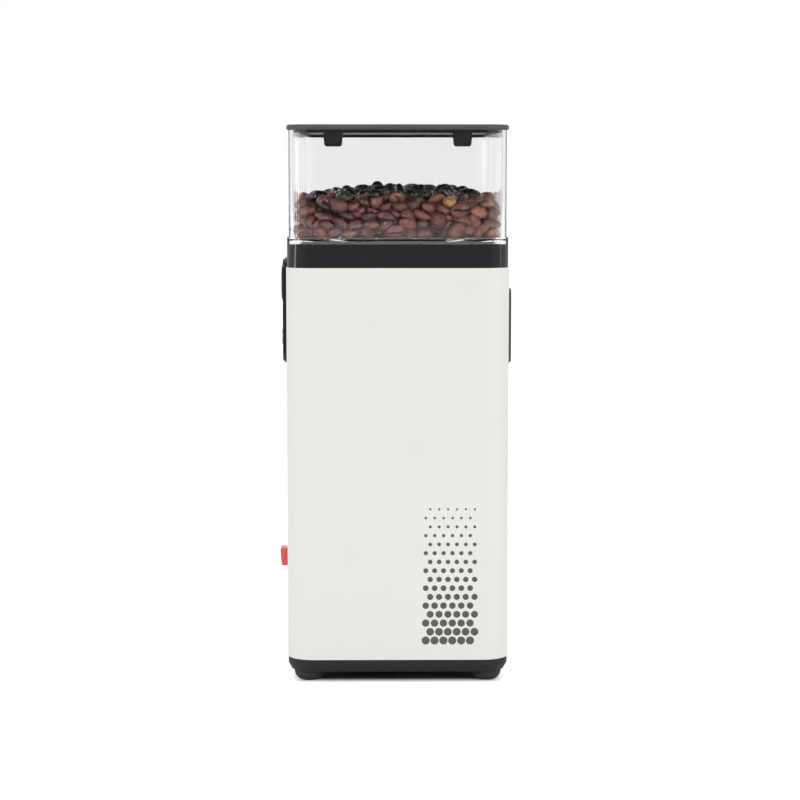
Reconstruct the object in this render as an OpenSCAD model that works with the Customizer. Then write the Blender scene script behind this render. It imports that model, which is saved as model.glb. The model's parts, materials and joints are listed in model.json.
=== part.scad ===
// Compact flat-burr coffee grinder: white steel wrap, clear hopper, side controls, portafilter fork.
// Millimetres. +Z is up, the plain display face looks along -Y and the working side along +Y.
// The origin is the middle of the footprint, on the surface that the feet stand on.

/* [Body] */
// Width of the steel shell
body_w = 127.6; // [126.8:0.4:128.8]
// Depth of the steel shell
body_d = 170; // [169:1:172]
// Radius of the shell's upright corners
corner_r = 15; // [13:1:16]
// Thickness of the shell's sheet steel
shell_t = 1.2; // [0.8:0.1:1.4]
// How far the fork and spout reach out from the working side
fork_reach = 54; // [52:1:58]

/* [Heights] */
// Height of the rubber feet
foot_h = 6.5; // [6:0.1:7]
// Lower edge of the shell
shell_z0 = 13.8; // [13:0.2:14.4]
// Upper edge of the shell
shell_z1 = 239.2; // [239:0.2:240]
// Top of the black collar
collar_z1 = 252.4; // [252.4:0.2:254]
// Top of the hopper's walls
hopper_z1 = 316.9; // [300:1:330]
// Thickness of the lid's plate
lid_t = 3; // [2.6:0.2:4]

/* [Burrs] */
// Outer radius of the burrs
burr_r = 29; // [28:0.5:29]
// Gap between the burrs at rest
burr_gap = 0.4; // [0.3:0.05:0.6]
// Grooves cut in each burr
burr_grooves = 18; // [8:1:24]

/* [Grind adjustment] */
// Teeth on the adjusting ring
ring_teeth = 88; // [88:1:88]
// Pitch radius of the adjusting ring
ring_r = 42; // [42:1:42]
// Radius of the side dial
dial_r = 10.7; // [10:0.1:10.8]

/* [Hopper] */
// Wall thickness of the clear hopper
hopper_t = 2.5; // [2:0.1:3]

/* [Hidden] */
$fn = 72;
eps = 0.01;

// Plan view
half_w = body_w / 2;
overall_d = body_d + fork_reach;
front_y = -overall_d / 2;
back_y = front_y + body_d;
cy = (front_y + back_y) / 2;     // centre of the shell, and the motor's axis
inner_w = body_w - 2 * shell_t;
inner_d = body_d - 2 * shell_t;
inner_r = corner_r - shell_t;

// Base
foot_r = 9;
foot_x = 51;
foot_y = body_d / 2 - 14;
foot_edge_r = 4.6;               // radius of the dome round each foot
tray_floor_z = foot_h + 3;
plate_t = 2;

// Chassis and motor
frame_x = 58;
frame_top_z = 170;
damper_x = 52.5;
damper_y = 22;
motor_r = 47;
bell_t = 4;
core_z0 = 93;
core_z1 = 133;
bell_z0 = 62;
bell_z1 = 166;
bolt_circle_r = 49.6;
bearing_r = 13;
shaft_r = 5;
running = 0.05;                  // radial clearance of a shaft in its bearing

// Burr chamber
chamber_r = 43;
chamber_bore = 38;
chamber_floor_z = 178;
chamber_top_z = 222;
lower_burr_z = 190.5;
burr_t = 7.5;
burr_hole_r = 17;
upper_burr_z = lower_burr_z + burr_t + burr_gap;
carrier_z = upper_burr_z + burr_t;
neck_r = 30.9;
neck_top_z = 234;
post_r = 47;
key_r = 1.5;
post_angles = [35, 145, 215, 325];

// Worm drive of the adjusting ring
worm_z = 229.5;
worm_tip_r = 6.2;
worm_root_r = 4.2;
worm_pitch_r = 5.4;
worm_y = cy - ring_r - worm_pitch_r;
worm_lead = 2 * PI * ring_r / ring_teeth;
worm_half = 12;
worm_shaft_r = 2.5;
ring_z0 = 225.6;
ring_z1 = 233.4;

// Side panels
panel_t = 2.4;
panel_z0 = 183.4;
panel_z1 = 244.1;
panel_half = 16;
button_z = 198;
button_r = 4.5;
grille_t = 2.6;
grille_z0 = 181.8;
grille_z1 = 226.2;
grille_y0 = front_y + 35;
grille_y1 = front_y + 105;

// Power switch
switch_z = 68.3;
switch_y = worm_y;
rocker_w = 9.6;
bezel_t = 0.4;

// Working side
spout_y = back_y + 38;
nozzle_r = 14;
nozzle_z0 = 157;
nozzle_z1 = 199;
fork_z = 104;
fork_t = 8;
fork_bore = 30;
fork_rim = 9;                    // width of each arm
spout_screw_x = 17.4;
plunger_z = 138;
rail_z0 = 78;
rail_z1 = 128;
display_z0 = 206;
display_z1 = 234;
dose_z = 220;
dose_x = [14, 27];

// Hopper and lid
deck_z = shell_z1 + 1;           // top of the collar's floor, which the hopper stands over
rim_z1 = collar_z1 + 4;
hopper_w = body_w - 3.2;
hopper_d = body_d - 2;
lid_w = body_w - 0.8;
hopper_in_w = hopper_w - 2 * hopper_t;
hopper_in_d = hopper_d - 2 * hopper_t;
throat_r = 19.5;
throat_z = deck_z + 5.2;
shutter_z = deck_z + 2.4;
shutter_t = 2;
lid_z = hopper_z1 + 0.1;
skirt_h = 1.7;                   // how far the lid reaches down inside the hopper
tab_x = 36.5;

// A rectangle with true round corners
module rounded_rect(w, d, r) {
  square([w - 2 * r, d], center = true);
  square([w, d - 2 * r], center = true);
  for (x = [-1, 1], y = [-1, 1])
    translate([x * (w / 2 - r), y * (d / 2 - r)]) circle(r = r);
}

// A slab of that rectangle, centred on the shell
module slab(w, d, r, z0, z1) {
  translate([0, cy, z0]) linear_extrude(z1 - z0) rounded_rect(w, d, r);
}

// A rectangular ring: a slab less a smaller slab
module frame_ring(w, d, r, t, z0, z1) {
  difference() {
    slab(w, d, r, z0, z1);
    slab(w - 2 * t, d - 2 * t, max(r - t, 1), z0 - 1, z1 + 1);
  }
}

// An annulus on the motor's axis
module ring(r_out, r_in, z0, z1) {
  translate([0, cy, z0]) difference() {
    cylinder(r = r_out, h = z1 - z0);
    translate([0, 0, -1]) cylinder(r = r_in, h = z1 - z0 + 2);
  }
}

// A round bar on the motor's axis
module disc(r, z0, z1) {
  translate([0, cy, z0]) cylinder(r = r, h = z1 - z0);
}

// Children repeated round the motor's axis
module around(angles, r) {
  for (a = angles) translate([0, cy, 0]) rotate([0, 0, a]) translate([r, 0, 0]) children();
}

// A box from its low and high corners
module box(lo, hi) {
  translate(lo) cube(hi - lo);
}

// A bar along X from x0 to x1
module bar_x(r, x0, x1, y, z) {
  translate([x0, y, z]) rotate([0, 90, 0]) cylinder(r = r, h = x1 - x0);
}

// A bar along Y from y0 to y1
module bar_y(r, y0, y1, x, z) {
  translate([x, y0, z]) rotate([-90, 0, 0]) cylinder(r = r, h = y1 - y0);
}

// A plate standing on a side wall, with round corners, between two values of X
module side_plate(x0, x1, y0, y1, z0, z1, r) {
  translate([x0, (y0 + y1) / 2, (z0 + z1) / 2]) rotate([90, 0, 90])
    linear_extrude(x1 - x0) rounded_rect(y1 - y0, z1 - z0, r);
}

// A plate standing on the working side, between two values of Y
module back_plate(y0, y1, x0, x1, z0, z1, r) {
  translate([(x0 + x1) / 2, y1, (z0 + z1) / 2]) rotate([90, 0, 0])
    linear_extrude(y1 - y0) rounded_rect(x1 - x0, z1 - z0, r);
}

// ---------- Enclosure ----------

module body_shell() {
  color([0.93, 0.92, 0.9]) difference() {
    frame_ring(body_w, body_d, corner_r, shell_t, shell_z0, shell_z1);
    bar_x(4, -half_w - 1, -half_w + 3, worm_y, worm_z);
    bar_x(3, -half_w - 1, -half_w + 3, worm_y, button_z);
    box([-half_w - 1, switch_y - 6.2, switch_z - 7.2], [-half_w + 3, switch_y + 6.2, switch_z + 7.2]);
    box([half_w - 3, grille_y0 + 6, grille_z0 + 6], [half_w + 1, grille_y1 - 6, grille_z1 - 6]);
    box([half_w - 3, back_y - 46, 28], [half_w + 1, back_y - 18, 48]);
    box([-10, back_y - 3, 180.5], [10, back_y + 1, 195.5]);
    for (s = [-1, 1]) bar_y(1.7, back_y - 3, back_y + 1, s * spout_screw_x, 188);
    bar_y(5.4, back_y - 3, back_y + 1, 0, plunger_z);
    for (x = dose_x) bar_y(3.4, back_y - 3, back_y + 1, x, dose_z);
    box([-26, back_y - 3, 213], [2, back_y + 1, 227]);
  }
}

module base_tray() {
  color([0.12, 0.12, 0.12]) difference() {
    union() {
      hull() {
        slab(body_w - 4.4, body_d - 4.4, corner_r - 2.2, foot_h, foot_h + 0.4);
        slab(body_w - 0.6, body_d - 0.6, corner_r - 0.3, shell_z0 - 3.8, shell_z0 - 3.4);
      }
      slab(body_w - 0.6, body_d - 0.6, corner_r - 0.3, shell_z0 - 3.4, shell_z0);
      slab(inner_w - 0.4, inner_d - 0.4, inner_r - 0.2, shell_z0 - eps, shell_z0 + 6);
    }
    slab(inner_w - 5, inner_d - 5, inner_r - 2.5, tray_floor_z, shell_z0 + 7);
    for (x = [-1, 1], y = [-1, 1]) translate([x * foot_x, cy + y * foot_y, 0]) cylinder(r = 4.2, h = 12);
    for (i = [-3:3]) box([-25, cy + i * 12 - 1.5, 0], [25, cy + i * 12 + 1.5, 12]);
  }
}

// One rubber foot: a domed pad, a spigot into the tray and a counterbored screw hole
module foot(sx, sy) {
  color([0.16, 0.16, 0.17]) translate([sx * foot_x, cy + sy * foot_y, 0]) difference() {
    union() {
      rotate_extrude() intersection() {
        square([foot_r, foot_h]);
        union() {
          translate([0, foot_h - 2]) square([foot_r, 2]);
          translate([foot_r - foot_edge_r, foot_h - 1]) scale([1, (foot_h - 1) / foot_edge_r]) circle(r = foot_edge_r);
          square([foot_r - foot_edge_r, foot_h]);
        }
      }
      translate([0, 0, foot_h - eps]) cylinder(r = 4, h = 3 + eps);
    }
    translate([0, 0, -1]) cylinder(r = 1.8, h = 12);
    translate([0, 0, -1]) cylinder(r = 3.3, h = 3.6);
  }
}

// A socket-head screw whose head's seat is at the origin and whose shank points down
module case_screw(shank_r, shank_h, head_r, head_h) {
  difference() {
    union() {
      cylinder(r = head_r, h = head_h);
      translate([0, 0, -shank_h]) cylinder(r = shank_r, h = shank_h + eps);
    }
    translate([0, 0, head_h - 0.9]) cylinder(r = head_r * 0.42, h = 1, $fn = 6);
  }
}

// Feet from below, collar from above, spout from the working side
module case_screws() {
  color("silver") {
    for (x = [-1, 1], y = [-1, 1]) translate([x * foot_x, cy + y * foot_y, 2.6]) rotate([180, 0, 0])
      case_screw(1.6, 10.9, 3, 1.6);
    around(post_angles, post_r) translate([0, 0, deck_z]) case_screw(1.5, 26, 3, 1.8);
    for (s = [-1, 1]) translate([s * spout_screw_x, back_y + 2.5, 188]) rotate([-90, 0, 0])
      case_screw(1.5, 9, 2.6, 1.7);
  }
}

module top_collar() {
  color([0.16, 0.17, 0.18]) difference() {
    union() {
      frame_ring(body_w - 1, body_d - 1, corner_r - 0.5, 3, shell_z1, collar_z1);
      slab(inner_w - 0.4, inner_d - 0.4, inner_r - 0.2, deck_z - 2, deck_z);
      frame_ring(inner_w - 0.4, inner_d - 0.4, inner_r - 0.2, 2, deck_z - 4.9, deck_z - 1.4);
    }
    disc(24, deck_z - 3, deck_z + 1);
    around(post_angles, post_r) translate([0, 0, deck_z - 3]) cylinder(r = 1.8, h = 4);
    box([-13, back_y - 6, deck_z + 1.2], [13, back_y + 1, collar_z1 + 1]);
  }
}

// ---------- Chassis and motor ----------

module chassis_frame() {
  color([0.7, 0.71, 0.72]) difference() {
    union() {
      slab(112, 156, 8, tray_floor_z, tray_floor_z + plate_t);
      for (s = [-1, 1]) {
        box([s > 0 ? frame_x - plate_t : -frame_x, cy - 30, tray_floor_z],
            [s > 0 ? frame_x : -frame_x + plate_t, cy + 30, frame_top_z]);
        box([s > 0 ? 47.6 : -frame_x, cy - 30, frame_top_z - plate_t],
            [s > 0 ? frame_x : -47.6, cy + 30, frame_top_z]);
      }
    }
    for (x = [-1, 1], y = [-1, 1]) {
      translate([x * foot_x, cy + y * foot_y, 0]) cylinder(r = 1.8, h = 20);
      translate([x * damper_x, cy + y * damper_y, frame_top_z - 5]) cylinder(r = 3, h = 10);
    }
    for (z = [40, 70, 100, 130], y = [-14, 14])
      bar_x(9, -frame_x - 1, frame_x + 1, cy + y, z);
    for (i = [-3:3]) box([-25, cy + i * 12 - 1.5, 0], [25, cy + i * 12 + 1.5, 12]);
  }
}

module frame_dampers() {
  color([0.1, 0.1, 0.1]) for (x = [-1, 1], y = [-1, 1]) translate([x * damper_x, cy + y * damper_y, 0]) {
    translate([0, 0, frame_top_z]) cylinder(r = 5, h = 6);
    translate([0, 0, frame_top_z - 5]) cylinder(r = 2.9, h = 5 + eps);
    translate([0, 0, frame_top_z + 6 - eps]) cylinder(r = 2.4, h = 4);
  }
}

// The lugs that the tie bolts pass through
module bolt_lugs(z0, z1) {
  difference() {
    around([45, 135, 225, 315], bolt_circle_r) translate([0, 0, z0]) cylinder(r = 5, h = z1 - z0);
    around([45, 135, 225, 315], bolt_circle_r) translate([0, 0, z0 - 1]) cylinder(r = 2.2, h = z1 - z0 + 2);
    disc(motor_r - 1, z0 - 1, z1 + 1);
  }
}

module motor_lower_bell() {
  color([0.72, 0.73, 0.74]) difference() {
    union() {
      ring(motor_r, motor_r - bell_t, bell_z0, core_z0);
      disc(motor_r, bell_z0, bell_z0 + 5);
      disc(17, bell_z0 - 2, bell_z0 + 10);
      bolt_lugs(bell_z0, bell_z0 + 8);
    }
    disc(bearing_r + 0.02, bell_z0 - 1, bell_z0 + 11);
    disc(8, bell_z0 - 3, bell_z0);
    around([0:45:315], 31) translate([0, 0, bell_z0 - 1]) cylinder(r = 6, h = 8);
    around([0:45:315], motor_r) box([-8, -7, 74], [8, 7, 88]);
  }
}

module motor_upper_bell() {
  color([0.72, 0.73, 0.74]) difference() {
    union() {
      ring(motor_r, motor_r - bell_t, core_z1, bell_z1);
      disc(motor_r, bell_z1 - 5, bell_z1);
      disc(17, bell_z1 - 8, bell_z1);
      bolt_lugs(bell_z1 - 8, bell_z1);
    }
    disc(bearing_r + 0.02, bell_z1 - 9, bell_z1 + 1);
    around([0:45:315], motor_r) box([-8, -7, 139], [8, 7, 155]);
  }
}

module stator_core() {
  color([0.35, 0.36, 0.38]) difference() {
    ring(motor_r, 26.5, core_z0, core_z1);
    around([0:30:330], 32.5) box([-6.5, -2.2, core_z0 - 1], [6.5, 2.2, core_z1 + 1]);
  }
}

module stator_windings() {
  color([0.72, 0.4, 0.18]) {
    ring(41, 28, core_z1, core_z1 + 13);
    ring(41, 28, core_z0 - 13, core_z0);
    around([0:30:330], 33) box([-5.5, -1.9, core_z0 - 1], [5.5, 1.9, core_z1 + 1]);
  }
}

module motor_tie_bolts() {
  color("silver") around([45, 135, 225, 315], bolt_circle_r) {
    translate([0, 0, bell_z0 - 2]) cylinder(r = 2, h = 175.6 - bell_z0);
    translate([0, 0, bell_z0 - 3]) cylinder(r = 3.8, h = 3, $fn = 6);
    translate([0, 0, 172]) cylinder(r = 3.8, h = 3, $fn = 6);
  }
}

// A sealed ball bearing, drawn as its outer and inner races with the balls and seals between
module bearing(z0) {
  difference() {
    disc(bearing_r, z0, z0 + 8);
    disc(shaft_r + running, z0 - 1, z0 + 9);
    ring(10.8, 7.2, z0 - 1, z0 + 0.5);
    ring(10.8, 7.2, z0 + 7.5, z0 + 9);
  }
}

module motor_bearings() {
  color([0.75, 0.76, 0.78]) for (z = [bell_z0, bell_z1 - 8]) bearing(z);
}

module motor_shaft() {
  color([0.8, 0.81, 0.82]) {
    disc(shaft_r, 58, 187.9);
    disc(6.5, core_z0 - 6, core_z1 + 6);
    disc(3, 187.8, 198);
  }
}

module rotor_core() {
  color([0.5, 0.51, 0.53]) difference() {
    ring(25.8, 6.52, core_z0 - 2, core_z1 + 2);
    around([0:30:330], 21) translate([0, 0, core_z0 - 3]) cylinder(r = 1.6, h = 60);
  }
}

module cooling_fan() {
  color([0.2, 0.2, 0.22]) difference() {
    union() {
      disc(10, 147, 157);
      disc(36, 147.5, 149);
      around([0:45:315], 22) box([-13, -0.8, 148.9], [13.5, 0.8, 156]);
    }
    disc(shaft_r + 0.02, 140, 160);
  }
}

// ---------- Burr set ----------

module grinding_chamber() {
  color([0.68, 0.69, 0.7]) difference() {
    union() {
      disc(motor_r, bell_z1, 172);
      bolt_lugs(bell_z1, 172);
      disc(chamber_r, bell_z1, chamber_top_z);
      for (s = [-1, 1]) box([s > 0 ? 34 : -57.5, cy - 29, 176], [s > 0 ? 57.5 : -34, cy + 29, 181]);
      box([-17, cy + 34, 177], [17, cy + 47, 199]);
      around(post_angles, post_r) translate([0, 0, 212]) cylinder(r = 4.5, h = chamber_top_z - 212);
      around(post_angles, post_r - 4) box([-4, -4.5, 212], [4, 4.5, chamber_top_z]);
    }
    disc(chamber_bore, chamber_floor_z, chamber_top_z + 1);
    disc(5.6, bell_z1 - 1, chamber_floor_z + 1);
    disc(16, bell_z1 - 1, bell_z1 + 2);
    box([-9, cy + 30, 181], [9, cy + 48, 195]);
    for (x = [-1, 1], y = [-1, 1]) translate([x * damper_x, cy + y * damper_y, 170]) cylinder(r = 2.6, h = 20);
    around(post_angles, post_r) translate([0, 0, 211]) cylinder(r = 1.55, h = 20);
  }
  // Key that stops the upper burr carrier from turning
  color([0.68, 0.69, 0.7]) around([90], chamber_bore) translate([0, 0, 206])
    cylinder(r = key_r, h = chamber_top_z - 206);
}

module chamber_cover() {
  color([0.6, 0.61, 0.62]) difference() {
    union() {
      ring(chamber_r, neck_r + 0.6, chamber_top_z, 225.5);
      around(post_angles, post_r) translate([0, 0, chamber_top_z]) cylinder(r = 4.5, h = 3.5);
      around(post_angles, post_r - 4) box([-4, -4.5, chamber_top_z], [4, 4.5, 225.5]);
      box([-20, worm_y - 8, chamber_top_z], [20, cy - 36, 225.5]);
    }
    disc(neck_r + 0.6, chamber_top_z - 1, 230);
    box([-worm_half - 1, worm_y - worm_tip_r - 1, 222.9], [worm_half + 1, worm_y + worm_tip_r, 226]);
    around(post_angles, post_r) translate([0, 0, 221]) cylinder(r = 1.55, h = 8);
  }
}

module ring_retainer() {
  color([0.75, 0.76, 0.77]) difference() {
    union() {
      ring(44, neck_r + 0.6, 233.7, 235.4);
      around(post_angles, post_r) translate([0, 0, 225.5]) cylinder(r = 3.4, h = deck_z - 228.5);
      around(post_angles, post_r - 4) box([-4, -3.4, 233.7], [4, 3.4, 235.4]);
    }
    around(post_angles, post_r) translate([0, 0, 225]) cylinder(r = 1.6, h = 15);
    disc(neck_r + 0.6, 233, 236);
    box([-worm_half - 1, cy - 46, 233], [worm_half + 1, cy - 41, 236]);
  }
}

// Points of a circle of radius r round a centre line, for a coil of wire
function coil_point(turn, side, sides, mean_r, wire_r, z0, pitch) =
  let (a = 360 * turn, b = 360 * side / sides, r = mean_r + wire_r * cos(b))
  [r * cos(a), r * sin(a), z0 + pitch * turn + wire_r * sin(b)];

// A round wire wound in a helix, as one closed polyhedron
module coil(mean_r, wire_r, z0, pitch, turns, steps, sides) {
  n = turns * steps;
  points = [for (i = [0:n], j = [0:sides - 1])
    coil_point(i / steps, j, sides, mean_r, wire_r, z0, pitch)];
  walls = [for (i = [0:n - 1], j = [0:sides - 1]) let (k = (j + 1) % sides)
    [i * sides + j, i * sides + k, (i + 1) * sides + k, (i + 1) * sides + j]];
  polyhedron(points, concat([[for (j = [sides - 1:-1:0]) j]], walls, [[for (j = [0:sides - 1]) n * sides + j]]),
             convexity = 10);
}

module preload_spring() {
  color([0.8, 0.8, 0.82]) translate([0, cy, 0]) coil(34.5, 0.7, 217.9, 1.55, 2, 28, 6);
}

module lower_burr_carrier() {
  color([0.7, 0.71, 0.72]) difference() {
    union() {
      disc(10, 179.5, 186);
      disc(31, 186, lower_burr_z);
      disc(burr_hole_r - 0.1, lower_burr_z - eps, lower_burr_z + 3);
      around([0, 120, 240], 33) box([-4, -1.6, 179.6], [4, 1.6, 190]);
    }
    disc(shaft_r + 0.02, 170, 188);
    disc(3.1, 187, 200);
    around([30, 150, 270], 23) translate([0, 0, 185]) cylinder(r = 1.6, h = 8);
    disc(7.5, lower_burr_z, lower_burr_z + 5);
  }
}

// A flat burr: grooves on the grinding face, which is its upper side at z = burr_t
module burr() {
  difference() {
    cylinder(r = burr_r, h = burr_t);
    translate([0, 0, -1]) cylinder(r = burr_hole_r, h = burr_t + 2);
    translate([0, 0, burr_t - 2.6]) cylinder(r1 = burr_hole_r, r2 = burr_hole_r + 4, h = 2.7);
    for (i = [0:burr_grooves - 1]) rotate([0, 0, i * 360 / burr_grooves])
      translate([burr_hole_r - 3, 4.6, burr_t - 0.9]) rotate([0, 0, -22]) cube([15, 1.4, 2]);
    for (a = [30, 150, 270]) rotate([0, 0, a]) translate([23, 0, 0]) {
      translate([0, 0, -1]) cylinder(r = 1.7, h = burr_t + 2);
      translate([0, 0, burr_t - 3.2]) cylinder(r = 3.2, h = 4);
    }
  }
}

module lower_burr() {
  color([0.62, 0.63, 0.65]) translate([0, cy, lower_burr_z]) burr();
}

module upper_burr() {
  color([0.62, 0.63, 0.65]) translate([0, cy, upper_burr_z + burr_t]) rotate([180, 0, 0]) burr();
}

// Cheese-head screws that hold a burr to its carrier, drawn with the head uppermost
module burr_screw() {
  difference() {
    union() {
      translate([0, 0, 4.4]) cylinder(r = 3, h = 1.8);
      translate([0, 0, -4]) cylinder(r = 1.5, h = 8.5);
    }
    translate([0, 0, 5]) cylinder(r = 1.3, h = 2, $fn = 6);
  }
}

// Three screws, and the nut and washer on the motor shaft's end
module lower_burr_fixings() {
  color([0.3, 0.3, 0.32]) {
    around([30, 150, 270], 23) translate([0, 0, lower_burr_z]) burr_screw();
    difference() {
      union() {
        disc(6.8, lower_burr_z + 0.1, lower_burr_z + 1.2);
        translate([0, cy, lower_burr_z + 1.1]) cylinder(r = 5.6, h = 5, $fn = 6);
      }
      disc(3.1, 180, 205);
    }
  }
}

module upper_burr_screws() {
  color([0.3, 0.3, 0.32]) around([90, 210, 330], 23)
    translate([0, 0, carrier_z]) rotate([180, 0, 0]) burr_screw();
}

module upper_burr_carrier() {
  color([0.7, 0.71, 0.72]) difference() {
    union() {
      disc(chamber_bore - 0.1, carrier_z, 217);
      disc(neck_r, 216, neck_top_z);
    }
    disc(22, carrier_z + 4, neck_top_z + 1);
    disc(burr_hole_r, carrier_z - 1, carrier_z + 5);
    around([90, 210, 330], 23) translate([0, 0, carrier_z - 1]) cylinder(r = 1.6, h = 6);
    around([90], chamber_bore) translate([0, 0, 200]) cylinder(r = key_r + 0.3, h = 20);
  }
}

// One gear tooth's outline points, at a given angle and radii
function tooth(i, r_root, r_tip) =
  let (step = 360 / ring_teeth, a = i * step)
  [for (p = [[-0.34, r_root], [-0.15, r_tip], [0.15, r_tip], [0.34, r_root]])
    [p[1] * cos(a + p[0] * step - 90), p[1] * sin(a + p[0] * step - 90)]];

module adjusting_ring() {
  color([0.78, 0.66, 0.35]) translate([0, cy, ring_z0]) difference() {
    linear_extrude(ring_z1 - ring_z0)
      polygon([for (i = [0:ring_teeth - 1]) for (p = tooth(i, ring_r - 1.3, ring_r + 0.8)) p]);
    translate([0, 0, -1]) cylinder(r = neck_r + 0.1, h = 12);
  }
}

// The worm's thread: a ridge wound along X that passes midway between two ring teeth at its nearest point
function ridge_point(turn, corner) =
  let (a = 360 * turn,
       c = [[-0.72, worm_root_r - 0.4], [-0.3, worm_tip_r], [0.3, worm_tip_r], [0.72, worm_root_r - 0.4]][corner])
  [c[0] + worm_lead * turn, c[1] * cos(a), c[1] * sin(a)];

module worm_screw() {
  turns = 7;
  steps = 20;
  n = turns * steps;
  // Half a pitch of offset puts the ridge between two teeth where the worm faces the ring
  points = [for (i = [0:n], j = [0:3]) ridge_point(i / steps - turns / 2, j)];
  walls = [for (i = [0:n - 1], j = [0:3]) let (k = (j + 1) % 4)
    [i * 4 + j, i * 4 + k, (i + 1) * 4 + k, (i + 1) * 4 + j]];
  color([0.8, 0.68, 0.36]) translate([0, worm_y, worm_z]) difference() {
    union() {
      translate([worm_lead / 2, 0, 0])
        polyhedron(points, concat([[3, 2, 1, 0]], walls, [[n * 4, n * 4 + 1, n * 4 + 2, n * 4 + 3]]),
                   convexity = 10);
      translate([-worm_half, 0, 0]) rotate([0, 90, 0]) cylinder(r = worm_root_r, h = 2 * worm_half);
    }
    translate([-20, 0, 0]) rotate([0, 90, 0]) cylinder(r = worm_shaft_r + 0.02, h = 40);
  }
}

module worm_shaft() {
  color("silver") difference() {
    union() {
      bar_x(worm_shaft_r, -half_w - panel_t, 21, worm_y, worm_z);
      bar_x(4.2, -23, -20.4, worm_y, worm_z);
    }
    box([-half_w - panel_t - 1, worm_y + 1.8, worm_z - 5], [-half_w - 1, worm_y + 4, worm_z + 5]);
  }
}

module worm_brackets() {
  color([0.72, 0.73, 0.74]) for (s = [-1, 1]) difference() {
    box([s * 17 - 3, worm_y - 6, 225.5], [s * 17 + 3, worm_y + 5, 236]);
    bar_x(worm_shaft_r + running, s * 17 - 4, s * 17 + 4, worm_y, worm_z);
  }
}

// ---------- Side controls ----------

module control_panel() {
  x0 = -half_w - panel_t;
  color([0.09, 0.09, 0.1]) difference() {
    union() {
      side_plate(x0 + 1, -half_w, worm_y - panel_half, worm_y + panel_half, panel_z0, panel_z1, 6);
      side_plate(x0, x0 + 1 + eps, worm_y - panel_half + 1, worm_y + panel_half - 1,
                 panel_z0 + 1, panel_z1 - 1, 5);
      bar_x(3.6, -half_w - 1, -half_w + 1.2, worm_y, worm_z);
    }
    bar_x(dial_r + 0.3, x0 - 1, x0 + 1.9, worm_y, worm_z);
    bar_x(worm_shaft_r + 0.15, x0 - 1, -half_w + 6, worm_y, worm_z);
    bar_x(button_r + 0.25, x0 - 1, x0 + 2, worm_y, button_z);
    bar_x(2.2, x0 - 1, -half_w + 6, worm_y, button_z);
  }
}

module grind_dial() {
  x0 = -half_w - panel_t - 1;
  color([0.13, 0.13, 0.14]) difference() {
    union() {
      bar_x(dial_r, x0 + 0.8, x0 + 2.6, worm_y, worm_z);
      translate([x0, worm_y, worm_z]) rotate([0, 90, 0]) cylinder(r1 = dial_r - 0.8, r2 = dial_r, h = 0.8);
    }
    bar_x(worm_shaft_r + 0.02, x0 + 1, x0 + 5, worm_y, worm_z);
    translate([x0 - 1.4, worm_y, worm_z + 6.6]) sphere(r = 3);
    for (a = [0:12:348]) translate([x0 - 1, worm_y, worm_z]) rotate([a, 0, 0])
      translate([0, 0, dial_r + 0.2]) rotate([0, 90, 0]) cylinder(r = 0.5, h = 4, $fn = 16);
  }
}

module mode_button() {
  x0 = -half_w - panel_t - 1.2;
  color([0.75, 0.76, 0.77]) {
    bar_x(button_r, x0 + 0.5, x0 + 1.9, worm_y, button_z);
    translate([x0, worm_y, button_z]) rotate([0, 90, 0]) cylinder(r1 = button_r - 0.5, r2 = button_r, h = 0.5);
    bar_x(2, x0 + 1.8, -half_w + 7, worm_y, button_z);
  }
}

module switch_bezel() {
  color([0.1, 0.1, 0.1]) difference() {
    union() {
      side_plate(-half_w - bezel_t, -half_w, switch_y - 7.6, switch_y + 7.6, switch_z - 9, switch_z + 9, 2);
      box([-half_w - eps, switch_y - 6, switch_z - 7], [-half_w + 17, switch_y + 6, switch_z + 7]);
      for (z = [-4, 4]) box([-half_w + 16, switch_y - 0.4, switch_z + z - 2.4],
                            [-half_w + 24, switch_y + 0.4, switch_z + z + 2.4]);
    }
    box([-half_w - 3, switch_y - 5, switch_z - 6.3], [-half_w + 12, switch_y + 5, switch_z + 6.3]);
    bar_y(1.3, switch_y - 5.6, switch_y + 5.6, -half_w + 3, switch_z);
  }
}

// The rocker is drawn with its upper end out; a pin along Y carries it
module power_rocker() {
  color([0.85, 0.2, 0.17]) {
    translate([-half_w + 3, switch_y + rocker_w / 2, switch_z]) rotate([90, 0, 0]) linear_extrude(rocker_w)
      union() {
        polygon([[0, -2.4], [0, 2.4], [-2, 4.9], [-7.1, 5.35], [-7.8, 4.9], [-8, 4.2], [-7.8, 0],
                 [-7.3, -4.4], [-6.6, -5.3], [-2, -4.9]]);
        circle(r = 2.6);
      }
    bar_y(1.2, switch_y - 5.5, switch_y + 5.5, -half_w + 3, switch_z);
  }
}

module vent_grille() {
  color([0.2, 0.2, 0.21]) difference() {
    union() {
      side_plate(half_w, half_w + grille_t - 0.8, grille_y0, grille_y1, grille_z0, grille_z1, 5);
      side_plate(half_w + grille_t - 0.8 - eps, half_w + grille_t, grille_y0 + 0.8, grille_y1 - 0.8,
                 grille_z0 + 0.8, grille_z1 - 0.8, 4.2);
      side_plate(half_w - 3, half_w + eps, grille_y0 + 6.3, grille_y1 - 6.3, grille_z0 + 6.3, grille_z1 - 6.3, 2);
    }
    for (i = [-3:3]) box([half_w - 4, grille_y0 + 9, (grille_z0 + grille_z1) / 2 + i * 4.4 - 1.1],
                         [half_w + 4, grille_y1 - 9, (grille_z0 + grille_z1) / 2 + i * 4.4 + 1.1]);
  }
}

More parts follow.
